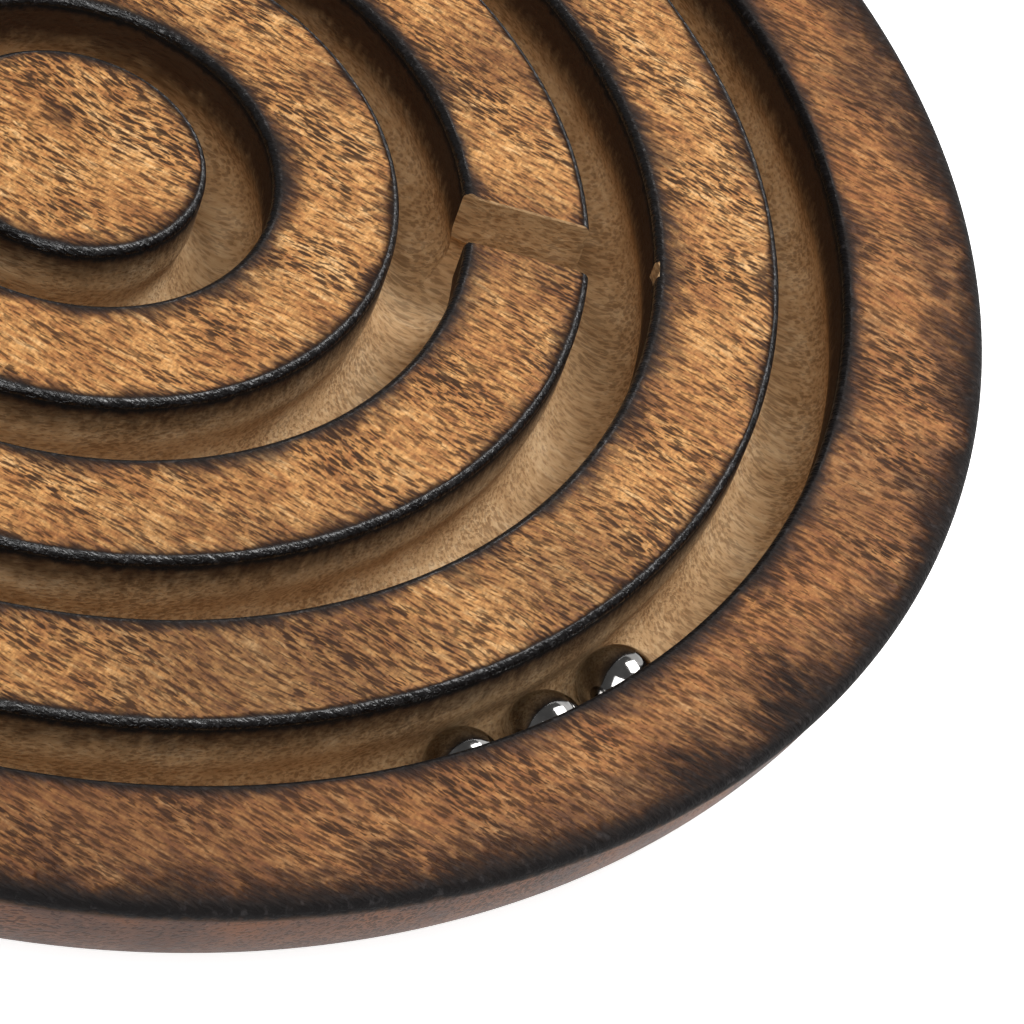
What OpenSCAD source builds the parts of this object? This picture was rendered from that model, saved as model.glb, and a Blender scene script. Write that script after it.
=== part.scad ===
// Round tilt maze game: a turned hardwood disc with four circular tracks, and three steel
// balls held in the outer track. The disc is one piece of wood, divided here at its ring
// walls. The origin is at the centre of the underside, and the middle ring's gate lies along X.

/* [Balls] */
// Diameter of each steel ball
ball_d = 5; // [3:0.1:6.5]
// Gap between a ball and the track that it rolls in
ball_clear = 0.1; // [0.05:0.05:0.4]
// Direction from the disc's centre to the middle ball, measured from X
ball_row_angle = -41.7; // [-75:0.1:-15]
// Gap between neighbouring balls in the row
ball_spacing = 1.5; // [0.1:0.1:3]

/* [Disc] */
// Diameter of the whole disc
disc_d = 120; // [100:1:180]
// Height of the disc
disc_h = 12; // [9.6:0.1:20]
// Radius of the rounded side, which runs down and inwards to the underside
side_r = 11.2; // [4:0.1:14]
// How far the side is set in under the scorched edge
side_inset = 0.4; // [0.2:0.1:1.2]
// Radius of the rounded outer edge of the top face
rim_edge_r = 0.8; // [0.3:0.1:1.5]

/* [Tracks] */
// Depth of the tracks below the top face
track_depth = 8.4; // [6.6:0.1:10.4]
// Width of the rim outside the outer track
rim_w = 9.35; // [6:0.05:14]
// Radius of the island in the middle, inside the inner track
island_r = 8.85; // [5:0.05:14]
// How far each side of a track or gate overhangs the round passage that a ball rolls in
track_lip = 0.45; // [0.2:0.05:1]
// Radius of the rounded shoulders along the tracks
shoulder_r = 0.55; // [0.3:0.05:1.2]
// Height above the track floor at which the walls stand on the floor board
foot_rise = 0.7; // [0.3:0.1:1.5]

/* [Gates] */
// Sideways offset of the middle ring's gate from the line through the centre
middle_gate_offset = 3.2; // [-5:0.1:5]

/* [Hidden] */
$fn = 96;

track_count = 4;
disc_r = disc_d / 2;
ball_r = ball_d / 2;
// The track's floor is an arc that follows the ball at the running gap
track_half_w = ball_r + ball_clear;
floor_z = disc_h - track_depth;
ball_z = floor_z + track_half_w;
foot_z = floor_z + foot_rise;
// The mouth of a track or gate is a slot, narrower than the round passage below it
slot_half_w = track_half_w - track_lip;

// Centre lines of the tracks, evenly spaced between the island and the rim
inner_track_r = island_r + slot_half_w;
outer_track_r = disc_r - rim_w - slot_half_w;
track_pitch = (outer_track_r - inner_track_r) / (track_count - 1);
function track_r(i) = inner_track_r + track_pitch * i;

// The side starts just under the rounded edge of the top face
side_top_z = disc_h - rim_edge_r;
side_x = disc_r - side_inset;
side_round_r = min(side_r, side_top_z);

// Angle between neighbouring balls in the outer track
ball_step = 2 * asin((ball_d + ball_spacing) / (2 * outer_track_r));
// Cutting shapes reach this far past the face that they open
over = 1;

stained_wood = [0.55, 0.36, 0.19];
bare_wood = [0.60, 0.48, 0.34];
steel = [0.72, 0.73, 0.75];

// Cross-section of one track: a round passage under a narrower slot with flared shoulders
module track_section(r) {
    flare = slot_half_w + shoulder_r;
    translate([r, ball_z]) circle(r = track_half_w);
    translate([r - slot_half_w, ball_z])
        square([2 * slot_half_w, disc_h + over - ball_z]);
    difference() {
        translate([r - flare, disc_h - shoulder_r]) square([2 * flare, shoulder_r + over]);
        for (side = [-1, 1])
            translate([r + side * flare, disc_h - shoulder_r]) circle(r = shoulder_r);
    }
}

// Half of the disc's outline: a lip with a rounded edge over an inset, rounded side
module disc_outline() {
    square([side_x - side_round_r, disc_h]);
    translate([0, side_round_r]) square([side_x, disc_h - rim_edge_r - side_round_r + 0.01]);
    intersection() {
        translate([side_x - side_round_r, side_round_r]) circle(r = side_round_r);
        square([side_x, side_round_r]);
    }
    translate([0, side_top_z]) square([disc_r - rim_edge_r, rim_edge_r]);
    intersection() {
        translate([disc_r - rim_edge_r, side_top_z]) circle(r = rim_edge_r);
        translate([0, side_top_z]) square([disc_r, rim_edge_r]);
    }
}

// The part of the disc between two radii and two heights, with the tracks cut out
module turned_piece(r_in, r_out, z_low, z_high) {
    rotate_extrude()
        difference() {
            intersection() {
                disc_outline();
                translate([r_in, z_low]) square([r_out - r_in, z_high - z_low]);
            }
            for (i = [0:track_count - 1]) track_section(track_r(i));
        }
}

// A gate from track i out to the next one: a round passage under a narrower slot
module gate(i, side, offset_y) {
    x_start = side > 0 ? track_r(i) : -track_r(i + 1);
    translate([x_start, offset_y, ball_z])
        rotate([0, 90, 0]) cylinder(r = track_half_w, h = track_pitch);
    translate([x_start, offset_y - slot_half_w, ball_z])
        cube([track_pitch, 2 * slot_half_w, disc_h + over - ball_z]);
}

module inner_gate() { gate(0, -1, 0); }
module middle_gate() { gate(1, 1, middle_gate_offset); }
module outer_gate() { gate(2, -1, 0); }

// The ring wall between track i and the next one, standing on the floor board
module ring_wall(i) {
    turned_piece(track_r(i), track_r(i + 1), foot_z, disc_h);
}

module floor_board() {
    color(bare_wood)
        difference() {
            turned_piece(0, disc_r, 0, foot_z);
            inner_gate();
            middle_gate();
            outer_gate();
        }
}

module centre_island() {
    color(stained_wood) turned_piece(0, inner_track_r, foot_z, disc_h);
}

module inner_ring() {
    color(stained_wood)
        difference() {
            ring_wall(0);
            inner_gate();
        }
}

module middle_ring() {
    color(stained_wood)
        difference() {
            ring_wall(1);
            middle_gate();
        }
}

module outer_ring() {
    color(stained_wood)
        difference() {
            ring_wall(2);
            outer_gate();
        }
}

module rim() {
    color(stained_wood) turned_piece(outer_track_r, disc_r, foot_z, disc_h);
}

// One ball in the outer track, a number of steps along from the middle of the row
module ball(steps) {
    color(steel)
        rotate([0, 0, ball_row_angle + steps * ball_step])
            translate([outer_track_r, 0, ball_z]) sphere(r = ball_r);
}

module left_ball() { ball(-1); }
module middle_ball() { ball(0); }
module right_ball() { ball(1); }

floor_board();
centre_island();
inner_ring();
middle_ring();
outer_ring();
rim();
left_ball();
middle_ball();
right_ball();
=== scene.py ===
import bpy
import math
from mathutils import Matrix, Vector


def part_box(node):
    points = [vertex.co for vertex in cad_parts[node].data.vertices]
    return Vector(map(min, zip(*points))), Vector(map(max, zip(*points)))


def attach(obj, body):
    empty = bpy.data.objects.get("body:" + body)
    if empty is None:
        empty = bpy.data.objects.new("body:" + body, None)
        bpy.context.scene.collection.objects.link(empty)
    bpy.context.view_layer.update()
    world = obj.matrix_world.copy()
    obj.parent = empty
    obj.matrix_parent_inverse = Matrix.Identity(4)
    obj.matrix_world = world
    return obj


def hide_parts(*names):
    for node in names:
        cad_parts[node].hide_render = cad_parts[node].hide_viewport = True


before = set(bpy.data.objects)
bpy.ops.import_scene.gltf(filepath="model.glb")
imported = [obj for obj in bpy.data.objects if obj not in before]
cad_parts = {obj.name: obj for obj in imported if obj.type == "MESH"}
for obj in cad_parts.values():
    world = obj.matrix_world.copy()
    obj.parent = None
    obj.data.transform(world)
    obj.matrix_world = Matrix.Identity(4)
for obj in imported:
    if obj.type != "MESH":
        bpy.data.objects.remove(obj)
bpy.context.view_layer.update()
mm = 0.001
shortestStep = 0.004       # mm, closer points of an outline are one point
weldDistance = 0.002 * mm  # closer corners of a mesh are welded
print("frame loaded:", ", ".join(sorted(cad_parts)))


# helpers for working in edit mode
def deselectAll():
    if bpy.context.object is not None and bpy.context.object.mode != "OBJECT":
        bpy.ops.object.mode_set(mode="OBJECT")
    bpy.ops.object.select_all(action="DESELECT")


def makeActive(piece):
    deselectAll()
    piece.select_set(True)
    bpy.context.view_layer.objects.active = piece


def arc(centre, radius, fromAngle, toAngle, steps):
    points = []
    for i in range(steps + 1):
        a = math.radians(fromAngle + (toAngle - fromAngle) * i / steps)
        points.append((centre[0] + radius * math.cos(a), centre[1] + radius * math.sin(a)))
    return points


def straight(start, end, steps):
    return [
        (start[0] + (end[0] - start[0]) * i / steps, start[1] + (end[1] - start[1]) * i / steps)
        for i in range(1, steps + 1)
    ]


def withoutRepeats(points):
    kept = [points[0]]
    for p in points[1:]:
        if math.dist(p, kept[-1]) > shortestStep:
            kept.append(p)
    return kept


# draws a line of points by extruding one corner from the last, all in mm
def drawLine(name, points, closed):
    deselectAll()
    bpy.ops.mesh.primitive_plane_add(size=mm, location=Vector(points[0]) * mm)
    piece = bpy.context.object
    piece.name = name
    piece.data.name = name
    bpy.ops.object.transform_apply(location=True, rotation=True, scale=True)
    bpy.ops.object.mode_set(mode="EDIT")
    bpy.ops.mesh.select_all(action="SELECT")
    bpy.ops.mesh.merge(type="CENTER")
    for before, after in zip(points, points[1:]):
        step = (Vector(after) - Vector(before)) * mm
        bpy.ops.mesh.extrude_region_move(TRANSFORM_OT_translate={"value": step})
    if closed:
        step = (Vector(points[0]) - Vector(points[-1])) * mm
        bpy.ops.mesh.extrude_region_move(TRANSFORM_OT_translate={"value": step})
        bpy.ops.mesh.select_all(action="SELECT")
        bpy.ops.mesh.remove_doubles(threshold=weldDistance)
    return piece


def turnOnLathe(name, section, closed, steps):
    points = [(r, 0.0, z) for r, z in withoutRepeats(section)]
    piece = drawLine(name, points, closed)
    bpy.ops.mesh.select_all(action="SELECT")
    bpy.ops.mesh.spin(steps=steps, angle=math.tau, center=(0, 0, 0), axis=(0, 0, 1), use_auto_merge=False)
    bpy.ops.mesh.select_all(action="SELECT")
    bpy.ops.mesh.remove_doubles(threshold=weldDistance)
    bpy.ops.mesh.select_all(action="SELECT")
    bpy.ops.mesh.normals_make_consistent(inside=False)
    bpy.ops.object.mode_set(mode="OBJECT")
    return piece


def cutAway(piece, cutter):
    makeActive(piece)
    cut = piece.modifiers.new("cut", "BOOLEAN")
    cut.operation = "DIFFERENCE"
    cut.solver = "EXACT"
    cut.object = cutter
    bpy.ops.object.modifier_apply(modifier=cut.name)


def paintFaces(piece, slotNumber, rule):
    makeActive(piece)
    bpy.ops.object.mode_set(mode="EDIT")
    bpy.ops.mesh.select_mode(type="FACE")
    bpy.ops.mesh.select_all(action="DESELECT")
    bpy.ops.object.mode_set(mode="OBJECT")
    for face in piece.data.polygons:
        face.select = rule(face.center / mm, face.normal)
    piece.active_material_index = slotNumber
    bpy.ops.object.mode_set(mode="EDIT")
    bpy.ops.object.material_slot_assign()
    bpy.ops.mesh.select_all(action="DESELECT")
    bpy.ops.object.mode_set(mode="OBJECT")


# helpers for materials
def paint(hexColour):
    channels = []
    for i in (1, 3, 5):
        c = int(hexColour[i:i + 2], 16) / 255
        channels.append(c / 12.92 if c <= 0.04045 else ((c + 0.055) / 1.055) ** 2.4)
    return (*channels, 1.0)


def newNode(tree, kind, sockets=None, **settings):
    made = tree.nodes.new("ShaderNode" + kind)
    for key, value in settings.items():
        setattr(made, key, value)
    for key, value in (sockets or {}).items():
        if isinstance(value, bpy.types.NodeSocket):
            tree.links.new(value, made.inputs[key])
        else:
            made.inputs[key].default_value = value
    return made


def maths(tree, operation, first, second=0.0, third=0.5):
    return newNode(tree, "Math", {0: first, 1: second, 2: third}, operation=operation).outputs[0]


def times(tree, first, second):
    return maths(tree, "MULTIPLY", first, second)


def centred(tree, value):  # a noise value shifted to lie either side of zero
    return maths(tree, "SUBTRACT", value, 0.5)


def fade(tree, value, low, high, atLow=0.0, atHigh=1.0):  # smooth step between two values
    sockets = {"Value": value, "From Min": low, "From Max": high, "To Min": atLow, "To Max": atHigh}
    return newNode(tree, "MapRange", sockets, interpolation_type="SMOOTHSTEP").outputs["Result"]


def mixColour(tree, amount, first, second, way="MIX"):
    made = newNode(tree, "Mix", data_type="RGBA", blend_type=way)
    for name, value in (("Factor_Float", amount), ("A_Color", first), ("B_Color", second)):
        socket = next(s for s in made.inputs if s.identifier == name)
        if isinstance(value, bpy.types.NodeSocket):
            tree.links.new(value, socket)
        else:
            socket.default_value = value
    return next(s for s in made.outputs if s.identifier == "Result_Color")


def ramp(tree, value, stops):
    made = newNode(tree, "ValToRGB", {"Fac": value})
    bar = made.color_ramp.elements
    while len(bar) < len(stops):
        bar.new(0.5)
    for step, (place, colour) in zip(bar, stops):
        step.position = place
        step.color = paint(colour)
    return made.outputs["Color"]


def noise(tree, vector, stretch, detail=2.0, roughness=0.5, distortion=0.0, shift=(0, 0, 0)):
    placed = newNode(tree, "Mapping", {"Vector": vector, "Location": shift, "Scale": stretch}).outputs[0]
    sockets = {"Vector": placed, "Scale": 1.0, "Detail": detail}
    sockets.update({"Roughness": roughness, "Distortion": distortion})
    return newNode(tree, "TexNoise", sockets).outputs["Fac"]


def newGroup(name, takes, gives):
    group = bpy.data.node_groups.new(name, "ShaderNodeTree")
    for socketName, kind in takes:
        group.interface.new_socket(socketName, in_out="INPUT", socket_type="NodeSocket" + kind)
    for socketName, kind in gives:
        group.interface.new_socket(socketName, in_out="OUTPUT", socket_type="NodeSocket" + kind)
    return group, group.nodes.new("NodeGroupInput").outputs, group.nodes.new("NodeGroupOutput").inputs


def useGroup(tree, group, sockets):
    made = tree.nodes.new("ShaderNodeGroup")
    made.node_tree = group
    for key, value in sockets.items():
        if isinstance(value, bpy.types.NodeSocket):
            tree.links.new(value, made.inputs[key])
        else:
            made.inputs[key].default_value = value
    return made.outputs


def newMaterial(name):
    material = bpy.data.materials.new(name)
    material.use_nodes = True
    tree = material.node_tree
    tree.nodes.clear()
    shader = tree.nodes.new("ShaderNodeBsdfPrincipled")
    output = tree.nodes.new("ShaderNodeOutputMaterial")
    tree.links.new(shader.outputs[0], output.inputs["Surface"])
    return material, tree, shader


# the turned sizes, in mm, with the outer sizes taken from the frame
rimLow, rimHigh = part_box("rim")
disc = {
    "radius": rimHigh.x / mm,
    "top": rimHigh.z / mm,
    "foot": rimLow.z / mm,
    "trackHalf": 2.6,          # half the round passage that the balls roll in
    "slotHalf": 2.15,          # half the narrower mouth above it
    "neckRise": 2.6,           # height over which the passage narrows to the mouth
    "trackPitch": 12.5,
    "trackMiddle": 6.2,        # height of the round passage's middle
    "shoulder": 0.55,
    "lipEdge": 0.8,
    "lipEnd": -32,             # degrees below level at which the lip's edge stops
    "lipHeight": 11.2,
    "creaseDepth": 0.03,       # the crease under the lip
    "creaseDrop": 0.55,
    "sideRadius": 11.2,
    "sideInset": 0.4,
    "sideStart": -4,
    "steps": 360,
}
fineness = {  # steps along each part of a section
    "passage": 9,
    "neck": 12,
    "wall": 5,
    "shoulder": 10,
    "top": 8,
    "rimTop": 10,
    "lip": 14,
    "side": 14,
    "trackFloor": 12,
    "foot": 18,
    "underside": 8,
}
firstTrack = 11.0
trackRadii = [firstTrack + disc["trackPitch"] * i for i in range(4)]
footAngle = math.degrees(math.asin((disc["trackMiddle"] - disc["foot"]) / disc["trackHalf"]))
sideAngle = math.degrees(math.asin((disc["lipHeight"] - disc["foot"]) / disc["sideRadius"]))
sideCentre = (disc["radius"] - disc["sideInset"] - disc["sideRadius"], disc["lipHeight"])
print("disc: radius %.2f, top %.2f, foot %.2f" % (disc["radius"], disc["top"], disc["foot"]))


def neck(trackRadius, side):  # the passage eases in to the mouth's width
    points = []
    steps = fineness["neck"]
    for i in range(1, steps + 1):
        eased = 0.5 - 0.5 * math.cos(math.pi * i / steps)
        across = disc["trackHalf"] + (disc["slotHalf"] - disc["trackHalf"]) * eased
        points.append((trackRadius + side * across, disc["trackMiddle"] + disc["neckRise"] * i / steps))
    return points


def wallUp(trackRadius):  # from the floor up the outer wall of a track, and over its shoulder
    half, middle, s = disc["trackHalf"], disc["trackMiddle"], disc["shoulder"]
    wall = trackRadius + disc["slotHalf"]
    points = arc((trackRadius, middle), half, -footAngle, 0, fineness["passage"]) + neck(trackRadius, 1)
    points += straight(points[-1], (wall, disc["top"] - s), fineness["wall"])
    points += arc((wall + s, disc["top"] - s), s, 180, 90, fineness["shoulder"])
    return points


def wallDown(trackRadius):  # over the shoulder and down the inner wall of a track
    half, middle, s = disc["trackHalf"], disc["trackMiddle"], disc["shoulder"]
    wall = trackRadius - disc["slotHalf"]
    narrowing = neck(trackRadius, -1)[::-1]
    points = arc((wall - s, disc["top"] - s), s, 90, 0, fineness["shoulder"])
    points += straight((wall, disc["top"] - s), narrowing[0], fineness["wall"])
    points += narrowing
    points += arc((trackRadius, middle), half, 180, 180 + footAngle, fineness["passage"])
    return points


def ringSection(innerTrack, outerTrack):
    up, down = wallUp(innerTrack), wallDown(outerTrack)
    return up + straight(up[-1], down[0], fineness["top"]) + down


def islandSection():
    down = wallDown(trackRadii[0])
    middle = (0.0, disc["top"])
    return [middle] + straight(middle, down[0], fineness["top"]) + down + [(0.0, disc["foot"])]


def rimSection():
    up = wallUp(trackRadii[-1])
    edge = disc["lipEdge"]
    lip = arc((disc["radius"] - edge, disc["top"] - edge), edge, 90, disc["lipEnd"], fineness["lip"])
    creaseRadius = disc["radius"] - disc["sideInset"] - disc["creaseDepth"]
    crease = [(creaseRadius, disc["lipHeight"] - disc["creaseDrop"])]
    side = arc(sideCentre, disc["sideRadius"], disc["sideStart"], -sideAngle, fineness["side"])
    return up + straight(up[-1], lip[0], fineness["rimTop"]) + lip + crease + side


def boardSection():
    points = [(0.0, disc["foot"])]
    for radius in trackRadii:
        middle = (radius, disc["trackMiddle"])
        points += arc(middle, disc["trackHalf"], 180 + footAngle, 360 - footAngle, fineness["trackFloor"])
    points += arc(sideCentre, disc["sideRadius"], -sideAngle, -90, fineness["foot"])
    points += straight(points[-1], (0.0, 0.0), fineness["underside"])
    return points


maze = {"centre_island": turnOnLathe("centre_island_top", islandSection(), False, disc["steps"])}
for i, name in enumerate(("inner_ring", "middle_ring", "outer_ring")):
    section = ringSection(trackRadii[i], trackRadii[i + 1])
    maze[name] = turnOnLathe(name + "_top", section, True, disc["steps"])
maze["rim"] = turnOnLathe("rim_top", rimSection(), True, disc["steps"])
maze["floor_board"] = turnOnLathe("board_below", boardSection(), False, disc["steps"])
print("turned pieces:", {name: len(piece.data.polygons) for name, piece in maze.items()})

# the gates between the tracks: a round passage under a narrower slot, its ends eased outwards
gate = {
    "passage": 2.6,
    "slotHalf": 1.95,
    "chamfer": 0.1,
    "ease": 1.16,              # how much wider the ends are
    "easing": [(-0.4, 1.0), (0.12, 0.62), (0.45, 0.2), (0.8, 0.0)],  # mm past the wall, share of it
    "above": 1.5,
    "steps": 40,
}


def gateOutline(x, y):
    reach = math.sqrt(gate["passage"] ** 2 - gate["slotHalf"] ** 2)
    start = math.degrees(math.atan2(reach, gate["slotHalf"]))
    points = []
    for py, pz in arc((y, disc["trackMiddle"]), gate["passage"], start, -180 - start, gate["steps"]):
        points.append((x, py, pz))
    top, half, c = disc["top"], gate["slotHalf"], gate["chamfer"]
    for side in (-1, 1):
        corner = [(x, y + side * half, top - c), (x, y + side * (half + c), top + 0.001)]
        corner.append((x, y + side * (half + c), top + gate["above"]))
        points += corner if side < 0 else corner[::-1]
    return points


# a cutter along X, from one track's middle to the next, that widens where it meets each wall
def gateCutter(name, fromX, toX, wallA, wallB, y):
    cutter = drawLine(name, gateOutline(fromX, y), True)
    bpy.ops.mesh.select_all(action="SELECT")
    bpy.ops.mesh.edge_face_add()
    towards = 1 if toX > fromX else -1
    widening = gate["ease"] - 1
    stops = [(fromX, 1.0)]
    stops += [(wallA + towards * past, 1.0 + share * widening) for past, share in gate["easing"]]
    stops += [(wallB - towards * past, 1.0 + share * widening) for past, share in reversed(gate["easing"])]
    stops.append((toX, 1.0))
    for before, after in zip(stops, stops[1:]):
        step = ((after[0] - before[0]) * mm, 0, 0)
        bpy.ops.mesh.extrude_region_move(TRANSFORM_OT_translate={"value": step})
        grow = after[1] / before[1]
        middle = (after[0] * mm, y * mm, disc["trackMiddle"] * mm)
        bpy.ops.transform.resize(value=(1, grow, 1), center_override=middle)
    bpy.ops.mesh.select_all(action="SELECT")
    bpy.ops.mesh.normals_make_consistent(inside=False)
    bpy.ops.object.mode_set(mode="OBJECT")
    return cutter


gates = {
    "inner_ring": {"between": (0, 1), "side": -1, "y": 0.0},
    "middle_ring": {"between": (1, 2), "side": 1, "y": 3.2},
    "outer_ring": {"between": (2, 3), "side": -1, "y": 0.0},
}
for ringName, place in gates.items():
    inTrack, outTrack = (trackRadii[i] for i in place["between"])
    s, y = place["side"], place["y"]
    wallA = s * math.sqrt((inTrack + disc["slotHalf"]) ** 2 - y ** 2)
    wallB = s * math.sqrt((outTrack - disc["slotHalf"]) ** 2 - y ** 2)
    cutter = gateCutter("gateCutter", s * inTrack, s * outTrack, wallA, wallB, y)
    cutAway(maze[ringName], cutter)
    cutAway(maze["floor_board"], cutter)
    bpy.data.objects.remove(cutter)

# where the cutter ran on a little, it nicked the next ring's shoulder
nick = {"radius": 1.6, "depth": 0.22, "sides": 96, "height": 6, "lift": 1.2}
nickWall = math.sqrt((trackRadii[2] + disc["slotHalf"]) ** 2 - gates["middle_ring"]["y"] ** 2)
nickMiddle = Vector((nickWall + nick["depth"] - nick["radius"], gates["middle_ring"]["y"]))
deselectAll()
bpy.ops.mesh.primitive_cylinder_add(
    vertices=nick["sides"],
    radius=nick["radius"] * mm,
    depth=nick["height"] * mm,
    location=(nickMiddle.x * mm, nickMiddle.y * mm, (disc["top"] + nick["lift"]) * mm))
nickCutter = bpy.context.object
bpy.ops.object.transform_apply(location=True, rotation=True, scale=True)
cutAway(maze["outer_ring"], nickCutter)
bpy.data.objects.remove(nickCutter)
print("gates cut:", {name: len(piece.data.polygons) for name, piece in maze.items()})

# wood grain as a solid block of fibres that runs through every wooden piece
grain = {
    "direction": -20.0,        # degrees from X that the fibres run
    "climb": 4.0,              # degrees that they rise
    "wanderScale": 0.09,
    "wanderReach": 1.8,        # mm
    "poreLength": 1.5,
    "poreWidth": 0.34,
    "poreSize": 0.3,
    "finePoreWeight": 0.85,
    "loosePlace": 0.34,        # density between sparse and crowded pores
    "crowdedPlace": 0.68,
}
grainGives = ("Pores", "Halo", "Fibres", "Clouds", "FlecksAndSheen", "Lines")
grainGroup, takes, gives = newGroup(
    "woodGrain",
    [("Vector", "Vector")],
    [(name, "Float") for name in grainGives])
t = grainGroup
inMm = newNode(t, "Mapping", {
    "Vector": takes["Vector"],
    "Scale": (1000, 1000, 1000),
    "Rotation": (0, math.radians(grain["climb"]), math.radians(-grain["direction"])),
}).outputs[0]
wanderSockets = {"Vector": inMm, "Scale": grain["wanderScale"], "Detail": 1.0}
wander = newNode(t, "TexNoise", wanderSockets).outputs["Color"]
wander = newNode(t, "VectorMath", {0: wander, 1: (0.5, 0.5, 0.5)}, operation="SUBTRACT").outputs[0]
wander = newNode(t, "VectorMath", {0: wander, "Scale": grain["wanderReach"]}, operation="SCALE").outputs[0]
block = newNode(t, "VectorMath", {0: inMm, 1: wander}, operation="ADD").outputs[0]
along, across = 1 / grain["poreLength"], 1 / grain["poreWidth"]
poreShape = noise(t, block, (along * 2.2, across * 2.2, across * 2.2), detail=2.0, roughness=0.5)
poreSpread = newNode(t, "Mapping", {"Vector": block, "Scale": (along, across, across)}).outputs[0]
poreSpot = newNode(t, "TexVoronoi", {"Vector": poreSpread, "Scale": 1.0}).outputs["Distance"]
poreField = maths(t, "ADD", poreSpot, times(t, centred(t, poreShape), 0.5))
fineField = noise(t, block, (1.25, 5.2, 5.2), detail=1.6, roughness=0.45, shift=(7, 3, 1))
density = noise(t, block, (0.1, 0.2, 0.2), detail=2.5, roughness=0.6, shift=(3, 9, 5))


def byDensity(loose, crowded):
    return fade(t, density, grain["loosePlace"], grain["crowdedPlace"], loose, crowded)


poreEdge = maths(t, "SUBTRACT", poreField, byDensity(-0.05, 0.08))
deepPores = fade(t, poreEdge, grain["poreSize"] - 0.06, grain["poreSize"] + 0.08, 1.0, 0.0)
finePores = fade(t, maths(t, "SUBTRACT", fineField, byDensity(0.02, -0.045)), 0.54, 0.63)
pores = maths(t, "MAXIMUM", deepPores, times(t, finePores, grain["finePoreWeight"]))
pores = times(t, pores, fade(t, byDensity(0.0, 1.0), 0.0, 1.0, 0.72, 1.0))
halo = fade(t, poreEdge, grain["poreSize"], grain["poreSize"] + 0.3, 1.0, 0.0)
fibres = noise(t, block, (0.5, 2.6, 2.6), detail=4.0, roughness=0.62, shift=(1, 2, 8))
clouds = noise(t, block, (0.14, 0.26, 0.26), detail=3.0, roughness=0.55, shift=(4, 1, 6))
# pale ticks across the grain: partly the wood's ray flecks, partly a painted sheen
flecksAndSheen = noise(t, block, (4.5, 2.2, 2.2), detail=3.0, roughness=0.6, shift=(5, 5, 2))
lines = noise(t, block, (0.6, 11.0, 11.0), detail=2.0, shift=(2, 7, 7))
for name, value in zip(grainGives, (pores, halo, fibres, clouds, flecksAndSheen, lines)):
    t.links.new(value, gives[name])

# how far a point on the top lies from the nearest edge, and how burnt it is there
scorch = {
    "outerEdge": 0.5,          # width on a ring's outer edge
    "innerEdge": 1.0,          # and on its inner edge
    "rimEdge": 2.6,            # and at the rim's outer edge
    "blackFrom": 0.9,          # patches at least this strong are charred in the middle
    "ridgeTurn": -12.0,        # degrees between the crust's ridges and the fibres
    "patches": [               # place on the top in mm, size, strength
        ((51.5, -31.0), 9.0, 1.0),
        ((46.0, -38.5), 8.0, 1.0),
        ((38.5, -45.5), 7.0, 0.8),
        ((51.0, 26.0), 6.0, 0.8),
        ((56.5, 12.0), 5.0, 0.6),
        ((15.5, 12.0), 4.0, 0.5),
        ((25.5, 18.5), 5.5, 0.4),
        ((18.0, -38.5), 20.0, 0.65),
        ((12.0, -55.0), 22.0, 0.55),
        ((36.0, -25.0), 10.0, 0.5),
        ((30.0, 2.0), 8.0, 0.45),
        ((52.0, -12.0), 8.0, 0.35),
        ((-1.0, 2.6), 1.7, 0.75),
    ],
}
scorchGives = ("Char", "Toast", "Rim", "Crust", "OuterWall", "Lumps", "Ridges")
scorchGroup, takes, gives = newGroup(
    "edgeBurn",
    [("Vector", "Vector")],
    [(name, "Float") for name in scorchGives])
t = scorchGroup
inMm = newNode(t, "Mapping", {"Vector": takes["Vector"], "Scale": (1000, 1000, 1000)}).outputs[0]
parts = newNode(t, "SeparateXYZ", {"Vector": inMm}).outputs
flat = newNode(t, "CombineXYZ", {"X": parts["X"], "Y": parts["Y"]}).outputs[0]
radius = newNode(t, "VectorMath", {0: flat}, operation="LENGTH").outputs["Value"]
turns = maths(t, "DIVIDE", maths(t, "SUBTRACT", radius, firstTrack), disc["trackPitch"])
nearest = maths(t, "MINIMUM", maths(t, "MAXIMUM", maths(t, "ROUND", turns), 0.0), 3.0)
trackAt = maths(t, "MULTIPLY_ADD", nearest, disc["trackPitch"], firstTrack)
offTrack = maths(t, "SUBTRACT", radius, trackAt)
fromTrack = maths(t, "SUBTRACT", maths(t, "ABSOLUTE", offTrack), disc["slotHalf"])
fromRim = maths(t, "SUBTRACT", disc["radius"], radius)
distance = maths(t, "MINIMUM", fromTrack, fromRim)
isInnerEdge = times(t, maths(t, "GREATER_THAN", offTrack, 0.0), fade(t, fromTrack, 2.0, 3.8, 1.0, 0.0))
isRimEdge = fade(t, maths(t, "SUBTRACT", fromTrack, fromRim), -3.0, 3.0)
ragged = noise(t, inMm, (0.16, 0.16, 0.16), detail=4.0, roughness=0.65, shift=(2, 4, 3))


def turned(angle):  # places turned about Z by so many degrees
    return newNode(t, "Mapping", {"Vector": inMm, "Rotation": (0, 0, math.radians(angle))}).outputs[0]


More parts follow.
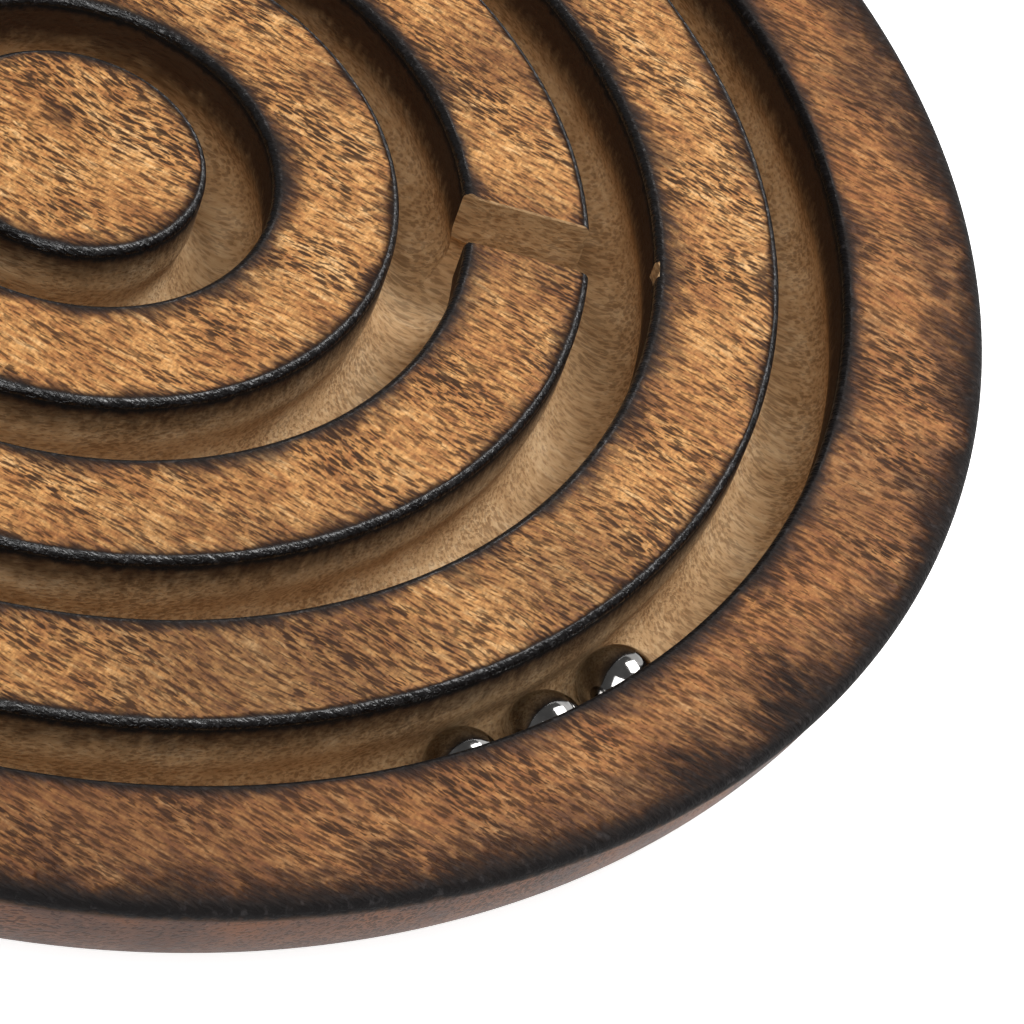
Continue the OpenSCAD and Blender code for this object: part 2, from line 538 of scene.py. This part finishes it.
streaky = noise(t, turned(-grain["direction"]), (0.55, 2.2, 2.2), detail=3.0, roughness=0.6)
width = maths(t, "MULTIPLY_ADD", isInnerEdge, scorch["innerEdge"] - scorch["outerEdge"], scorch["outerEdge"])
rimWidth = maths(t, "SUBTRACT", scorch["rimEdge"], width)
width = maths(t, "ADD", width, times(t, isRimEdge, rimWidth))
reach = times(t, width, fade(t, ragged, 0.32, 0.7, 0.35, 2.1))
reach = times(t, reach, fade(t, streaky, 0.25, 0.75, 0.55, 1.45))
edgeIn = maths(t, "SUBTRACT", distance, disc["shoulder"] * 0.72)
share = maths(t, "DIVIDE", edgeIn, maths(t, "MAXIMUM", reach, 0.05))
toast = fade(t, share, 0.0, 1.9, 1.0, 0.0)
char = fade(t, share, -0.1, 0.62, 1.0, 0.0)
for (px, py), size, strength in scorch["patches"]:
    base = newNode(t, "VectorMath", {0: flat, 1: (px, py, 0)}, operation="DISTANCE").outputs["Value"]
    away = maths(t, "ADD", base, times(t, centred(t, streaky), size * 1.1))
    toast = maths(t, "MAXIMUM", toast, fade(t, away, size * 0.1, size, strength, 0.0))
    if strength >= scorch["blackFrom"]:
        char = maths(t, "MAXIMUM", char, fade(t, away, size * 0.05, size * 0.62, 0.85, 0.0))
lumps = noise(t, inMm, (1.7, 1.7, 1.1), detail=3.0, roughness=0.55)
onRim = fade(t, radius, trackRadii[-1], trackRadii[-1] + 2)
ridgePlace = turned(-grain["direction"] + scorch["ridgeTurn"])
ridges = noise(t, ridgePlace, (0.5, 2.6, 0.8), detail=2.5, roughness=0.55, shift=(3, 1, 4))
crust = times(t, char, fade(t, fromTrack, 0.2, 0.6, 1.0, 0.0))
outerWall = fade(t, offTrack, -1.0, 1.5)
for name, value in zip(scorchGives, (char, toast, onRim, crust, outerWall, lumps, ridges)):
    t.links.new(value, gives[name])
print("grain and burn groups built")


def objectPlace(tree):
    return newNode(tree, "TexCoord").outputs["Object"]


def woodShade(tree, wood, cloudShare):  # large clouds and fine fibres as one value
    fibres = times(tree, wood["Fibres"], 1 - cloudShare)
    return maths(tree, "ADD", times(tree, wood["Clouds"], cloudShare), fibres)


def byFibres(tree, wood, low, high):  # a value that drifts with the fibres
    return fade(tree, wood["Fibres"], 0.3, 0.7, low, high)


# stained and lacquered top, with burnt edges
topWood = {
    "shades": [(0.32, "#764726"), (0.44, "#A26D3D"), (0.54, "#C18C52"), (0.68, "#DCB17C")],
    "halo": "#8A5428",
    "rimTint": "#7E4620",
    "pore": "#24150B",
    "toast": "#2E180C",
    "char": "#0E0B0B",
    "charGrey": "#2B2828",
    "cloudShare": 0.35,
    "rimStain": 0.5,
    "haloDepth": 0.5,
    "rimHaloDepth": 0.55,
    "poreDepth": 0.92,
    "gloss": 0.55,
    "shine": 0.16,
    "charGloss": 0.75,
    "crustGloss": 0.42,
    "crustShine": 0.7,
    "rimCrustShine": 0.06,
    "coatGloss": 0.22,
    "relief": 0.55,
}
bumpStep = 0.06 * mm


def buildTopWood():
    material, t, shader = newMaterial("stainedTop")
    place = objectPlace(t)
    wood = useGroup(t, grainGroup, {"Vector": place})
    burn = useGroup(t, scorchGroup, {"Vector": place})
    colour = ramp(t, woodShade(t, wood, topWood["cloudShare"]), topWood["shades"])
    # pale ticks across the grain brighten the colour: partly the wood's ray flecks, partly a painted sheen
    fleckAndSheen = fade(t, wood["FlecksAndSheen"], 0.36, 0.64, 0.7, 1.16)
    grey = newNode(t, "CombineColor", {0: fleckAndSheen, 1: fleckAndSheen, 2: fleckAndSheen}).outputs[0]
    colour = mixColour(t, 1.0, colour, grey, "MULTIPLY")
    colour = mixColour(t, times(t, burn["Rim"], topWood["rimStain"]), colour, paint(topWood["rimTint"]))
    colour = mixColour(t, times(t, wood["Halo"], topWood["haloDepth"]), colour, paint(topWood["halo"]))
    rimHalo = times(t, times(t, wood["Halo"], burn["Rim"]), topWood["rimHaloDepth"])
    darker = times(t, maths(t, "MAXIMUM", wood["Pores"], rimHalo), topWood["poreDepth"])
    colour = mixColour(t, darker, colour, paint(topWood["pore"]))
    toast = times(t, burn["Toast"], byFibres(t, wood, 1.0, 0.78))
    colour = mixColour(t, toast, colour, paint(topWood["toast"]))
    greyer = fade(t, burn["Lumps"], 0.55, 0.75)
    burnt = mixColour(t, greyer, paint(topWood["char"]), paint(topWood["charGrey"]))
    colour = mixColour(t, burn["Char"], colour, burnt)
    t.links.new(colour, shader.inputs["Base Color"])
    gloss = byFibres(t, wood, topWood["gloss"] - 0.06, topWood["gloss"] + 0.08)
    gloss = maths(t, "ADD", gloss, times(t, wood["Pores"], 0.15))
    crustGloss = fade(t, burn["Crust"], 0.0, 0.8, topWood["charGloss"], topWood["crustGloss"])
    gloss = newNode(t, "Mix", {0: burn["Char"], 2: gloss, 3: crustGloss}).outputs[0]
    t.links.new(gloss, shader.inputs["Roughness"])
    height = maths(t, "SUBTRACT", times(t, wood["Lines"], 0.35), times(t, wood["Pores"], 0.9))
    crust = maths(t, "ADD", times(t, burn["Lumps"], 2.2), times(t, burn["Ridges"], 7.5))
    height = maths(t, "ADD", height, times(t, crust, burn["Char"]))
    bump = newNode(t, "Bump", {"Height": height, "Strength": topWood["relief"], "Distance": bumpStep})
    t.links.new(bump.outputs[0], shader.inputs["Normal"])
    shader.inputs["Specular IOR Level"].default_value = topWood["shine"]
    sheen = fade(t, burn["Rim"], 0.2, 1.0, topWood["crustShine"], topWood["rimCrustShine"])
    t.links.new(times(t, burn["Crust"], sheen), shader.inputs["Coat Weight"])
    t.links.new(bump.outputs[0], shader.inputs["Coat Normal"])
    shader.inputs["Coat Roughness"].default_value = topWood["coatGloss"]
    return material


# bare wood inside the tracks, darkened below the burnt shoulders partly by real smoke and partly by painted
# shade
trackWood = {
    "shades": [(0.3, "#94704A"), (0.5, "#BC996F"), (0.7, "#D6B992")],
    "pore": "#3C2817",
    "smokeAndShade": "#2E1708",
    "smokeAndShadeDepth": 4.0,
    "outerShadeDepth": 1.9,         # how much deeper the painted shade goes on a track's outer wall
    "charDepth": 1.0,
    "cloudShare": 0.5,
    "haloDepth": 0.18,
    "poreDepth": 0.4,
    "gloss": 0.8,
    "shine": 0.2,
    "relief": 0.5,
}


def buildBareWood(name, smokedAndShaded):
    material, t, shader = newMaterial(name)
    place = objectPlace(t)
    wood = useGroup(t, grainGroup, {"Vector": place})
    colour = ramp(t, woodShade(t, wood, trackWood["cloudShare"]), trackWood["shades"])
    colour = mixColour(t, times(t, wood["Halo"], trackWood["haloDepth"]), colour, paint(topWood["halo"]))
    colour = mixColour(t, times(t, wood["Pores"], trackWood["poreDepth"]), colour, paint(trackWood["pore"]))
    if smokedAndShaded:
        burn = useGroup(t, scorchGroup, {"Vector": place})
        below = newNode(t, "SeparateXYZ", {"Vector": place}).outputs["Z"]
        below = times(t, maths(t, "SUBTRACT", disc["top"] * mm, below), 1000)
        # darker below the shoulder: partly real smoke, partly painted shade; the extra depth on the outer
        # walls is painted shade
        smokeAndShadeReach = maths(t, "MULTIPLY_ADD", centred(t, burn["Ridges"]), 2.4, below)
        smokeAndShadeReach = maths(t, "SUBTRACT", smokeAndShadeReach, times(t, burn["OuterWall"], trackWood["outerShadeDepth"]))
        smokeAndShade = fade(t, smokeAndShadeReach, disc["shoulder"], trackWood["smokeAndShadeDepth"], 0.95, 0.0)
        colour = mixColour(t, smokeAndShade, colour, paint(trackWood["smokeAndShade"]))
        ragged = maths(t, "MULTIPLY_ADD", centred(t, burn["Lumps"]), 0.9, below)
        charred = fade(t, ragged, trackWood["charDepth"] - 0.35, trackWood["charDepth"] + 0.25, 1.0, 0.0)
        colour = mixColour(t, charred, colour, paint(topWood["char"]))
    t.links.new(colour, shader.inputs["Base Color"])
    gloss = byFibres(t, wood, trackWood["gloss"] - 0.08, trackWood["gloss"] + 0.1)
    t.links.new(gloss, shader.inputs["Roughness"])
    height = maths(t, "SUBTRACT", wood["Lines"], times(t, wood["Pores"], 1.2))
    bump = newNode(t, "Bump", {"Height": height, "Strength": trackWood["relief"], "Distance": bumpStep})
    t.links.new(bump.outputs[0], shader.inputs["Normal"])
    shader.inputs["Specular IOR Level"].default_value = trackWood["shine"]
    return material


# the turned side under the lip, stained a greyer brown
sideWood = {
    "shades": [(0.3, "#33211A"), (0.5, "#574036"), (0.7, "#7A6053")],
    "warm": "#6A4022",
    "pore": "#1A100C",
    "cloudShare": 0.45,
    "warmth": 0.75,
    "warmFrom": 5.5,           # mm up the side
    "warmTo": 11.0,
    "poreDepth": 0.72,
    "burnFrom": 10.35,
    "burnTo": 11.0,
    "gloss": 0.55,
    "shine": 0.2,
    "relief": 0.5,
}


def buildSideWood():
    material, t, shader = newMaterial("stainedSide")
    place = objectPlace(t)
    wood = useGroup(t, grainGroup, {"Vector": place})
    colour = ramp(t, woodShade(t, wood, sideWood["cloudShare"]), sideWood["shades"])
    up = newNode(t, "SeparateXYZ", {"Vector": place}).outputs["Z"]
    higher = fade(t, up, sideWood["warmFrom"] * mm, sideWood["warmTo"] * mm)
    warm = times(t, times(t, higher, fade(t, wood["Clouds"], 0.38, 0.62)), sideWood["warmth"])
    colour = mixColour(t, warm, colour, paint(sideWood["warm"]))
    colour = mixColour(t, times(t, wood["Pores"], sideWood["poreDepth"]), colour, paint(sideWood["pore"]))
    raggedUp = maths(t, "ADD", up, times(t, wood["Fibres"], 0.5 * mm))
    burnt = fade(t, raggedUp, sideWood["burnFrom"] * mm, sideWood["burnTo"] * mm)
    colour = mixColour(t, burnt, colour, paint(topWood["char"]))
    t.links.new(colour, shader.inputs["Base Color"])
    gloss = byFibres(t, wood, sideWood["gloss"] - 0.06, sideWood["gloss"] + 0.12)
    t.links.new(gloss, shader.inputs["Roughness"])
    height = maths(t, "SUBTRACT", times(t, wood["Lines"], 0.8), wood["Pores"])
    bump = newNode(t, "Bump", {"Height": height, "Strength": sideWood["relief"], "Distance": bumpStep})
    t.links.new(bump.outputs[0], shader.inputs["Normal"])
    shader.inputs["Specular IOR Level"].default_value = sideWood["shine"]
    return material


woodSlots = [
    buildTopWood(),
    buildBareWood("bareTrack", True),
    buildBareWood("bareGateCut", False),
    buildSideWood(),
]
for piece in maze.values():
    piece.data.materials.clear()
    for material in woodSlots:
        piece.data.materials.append(material)

shoulderFoot = disc["top"] - disc["shoulder"]
trackReach = disc["trackHalf"] + 0.01


def onTop(centre, normal):
    return centre.z > shoulderFoot - 0.02


def inTrack(centre, normal):
    return not onTop(centre, normal)


def onSide(centre, normal):
    beyondTracks = centre.xy.length > trackRadii[-1] + trackReach
    return beyondTracks and centre.z < disc["lipHeight"] - 0.4


def inGate(centre, normal):
    for place in gates.values():
        wide = gate["passage"] * gate["ease"] + 0.05
        near, far = (trackRadii[i] for i in place["between"])
        offLine = abs(centre.y - place["y"])
        if place["side"] * centre.x > near and offLine < wide and centre.xy.length < far:
            outside = offLine > gate["slotHalf"] + gate["chamfer"] and normal.z > 0.98
            facesAcross = abs(normal.y) > 0.55 and abs(math.atan2(centre.y, place["side"] * centre.x)) < 0.4
            return facesAcross and not outside
    return False


def inNick(centre, normal):
    offNick = abs((centre.xy - nickMiddle).length - nick["radius"])
    return offNick < 0.03 and centre.x > nickWall - 0.2


for name, piece in maze.items():
    paintFaces(piece, 1, inTrack)
    if name in gates:
        paintFaces(piece, 2, inGate)
    if name == "outer_ring":
        paintFaces(piece, 2, inNick)
    if name in ("rim", "floor_board"):
        paintFaces(piece, 3, onSide)
    makeActive(piece)
    bpy.ops.object.shade_smooth_by_angle(angle=math.radians(32))
print("wood painted")

# three steel balls, each a cube rounded into an even ball
ball = {"cuts": 5}


def makeBall(nodeName, pieceName):
    low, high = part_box(nodeName)
    centre = (low + high) / 2
    size = (high.x - low.x) / 2
    deselectAll()
    bpy.ops.mesh.primitive_cube_add(size=size, location=centre)
    piece = bpy.context.object
    piece.name = pieceName
    piece.data.name = pieceName
    bpy.ops.object.mode_set(mode="EDIT")
    bpy.ops.mesh.select_all(action="SELECT")
    for _ in range(ball["cuts"]):
        bpy.ops.mesh.subdivide(number_cuts=1)
    bpy.ops.transform.tosphere(value=1.0)
    bpy.ops.object.mode_set(mode="OBJECT")
    bpy.ops.object.transform_apply(location=True, rotation=True, scale=True)
    span = max((v.co - centre).length for v in piece.data.vertices)
    bpy.ops.object.mode_set(mode="EDIT")
    bpy.ops.mesh.select_all(action="SELECT")
    grow = size / span
    bpy.ops.transform.resize(value=(grow, grow, grow), center_override=centre)
    bpy.ops.object.mode_set(mode="OBJECT")
    bpy.ops.object.shade_smooth()
    return piece


steel = {
    "bright": "#A3A19F",
    "dull": "#878583",
    "gloss": 0.07,
}


def buildSteel():
    material, t, shader = newMaterial("polishedSteel")
    inMm = newNode(t, "Mapping", {"Vector": objectPlace(t), "Scale": (1000, 1000, 1000)}).outputs[0]
    haze = noise(t, inMm, (0.9, 0.9, 0.9), detail=3.0)
    scratches = noise(t, inMm, (1.2, 26.0, 5.0), detail=2.0, distortion=0.6)
    t.links.new(mixColour(t, fade(t, haze, 0.35, 0.7), paint(steel["bright"]), paint(steel["dull"])),
                shader.inputs["Base Color"])
    gloss = maths(t, "ADD", fade(t, haze, 0.35, 0.7, steel["gloss"] - 0.02, steel["gloss"] + 0.05),
                  fade(t, scratches, 0.62, 0.72, 0.0, 0.06))
    t.links.new(gloss, shader.inputs["Roughness"])
    bump = newNode(t, "Bump", {"Height": scratches, "Strength": 0.06, "Distance": 0.01 * mm})
    t.links.new(bump.outputs[0], shader.inputs["Normal"])
    shader.inputs["Metallic"].default_value = 1.0
    return material


steelMaterial = buildSteel()
balls = {}
for name in ("left_ball", "middle_ball", "right_ball"):
    balls[name] = makeBall(name, name.replace("_ball", "_steel_ball"))
    balls[name].data.materials.clear()
    balls[name].data.materials.append(steelMaterial)
    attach(balls[name], name)
    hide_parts(name)
print("balls made:", {name: len(piece.data.polygons) for name, piece in balls.items()})

for name, piece in maze.items():
    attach(piece, "disc")
    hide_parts(name)

# pale floor, soft lights and the camera
studio = {
    "floor": "#F7F7F7",
    "glow": 0.75,
    "floorShade": "#F3F3F3",
    "worldStrength": 0.16,
    "aim": (0.02, -0.01, 0.01),
}
lights = {
    "keyLight": {"azimuth": 42.0, "height": 56.0, "away": 0.75, "size": 0.4, "power": 6.4},
    "backPanel": {"azimuth": 66.0, "height": 22.0, "away": 0.9, "size": 0.6, "power": 1.2},
    "frontFill": {"azimuth": -97.0, "height": 51.0, "away": 0.75, "size": 0.42, "power": 2.6},
}
deselectAll()
bpy.ops.mesh.primitive_grid_add(x_subdivisions=8, y_subdivisions=8, size=6.0, location=(0, 0, 0))
floor = bpy.context.object
floor.name = "studio_floor"
floorMaterial, t, shader = newMaterial("paleFloor")
cloudy = noise(t, objectPlace(t), (1.5, 1.5, 1.5), detail=2.0)
pale = mixColour(t, cloudy, paint(studio["floor"]), paint(studio["floorShade"]))
t.links.new(pale, shader.inputs["Base Color"])
shader.inputs["Roughness"].default_value = 0.9
shader.inputs["Emission Color"].default_value = (1, 1, 1, 1)
shader.inputs["Emission Strength"].default_value = studio["glow"]
floor.data.materials.append(floorMaterial)

world = bpy.data.worlds.new("studioWorld")
world.use_nodes = True
world.node_tree.nodes["Background"].inputs["Color"].default_value = (1, 1, 1, 1)
world.node_tree.nodes["Background"].inputs["Strength"].default_value = studio["worldStrength"]
bpy.context.scene.world = world


def softLight(name, azimuth, height, away, size, power):
    a, e = math.radians(azimuth), math.radians(height)
    direction = Vector((math.cos(a) * math.cos(e), math.sin(a) * math.cos(e), math.sin(e)))
    deselectAll()
    bpy.ops.object.light_add(type="AREA", location=Vector(studio["aim"]) + direction * away)
    light = bpy.context.object
    light.name = name
    light.data.shape = "SQUARE"
    light.data.size = size
    light.data.energy = power
    light.rotation_euler = direction.to_track_quat("Z", "Y").to_euler()
    return light


for name, setting in lights.items():
    softLight(name, **setting)

view = {
    "from": (-0.01128, -0.29798, 0.30050),
    "aim": (0.03125, -0.02082, 0.012),
    "roll": 21.035,
    "lens": 231.9,
}
look = (Vector(view["aim"]) - Vector(view["from"])).to_track_quat("-Z", "Y").to_matrix()
look = look @ Matrix.Rotation(math.radians(view["roll"]), 3, "Z")
deselectAll()
bpy.ops.object.camera_add(location=view["from"], rotation=look.to_euler())
camera = bpy.context.object
camera.data.lens = view["lens"]
camera.data.sensor_width = 36
camera.data.clip_start = 0.01
bpy.context.scene.camera = camera
bpy.context.scene.view_settings.view_transform = "Standard"
print("studio ready")

deselectAll()
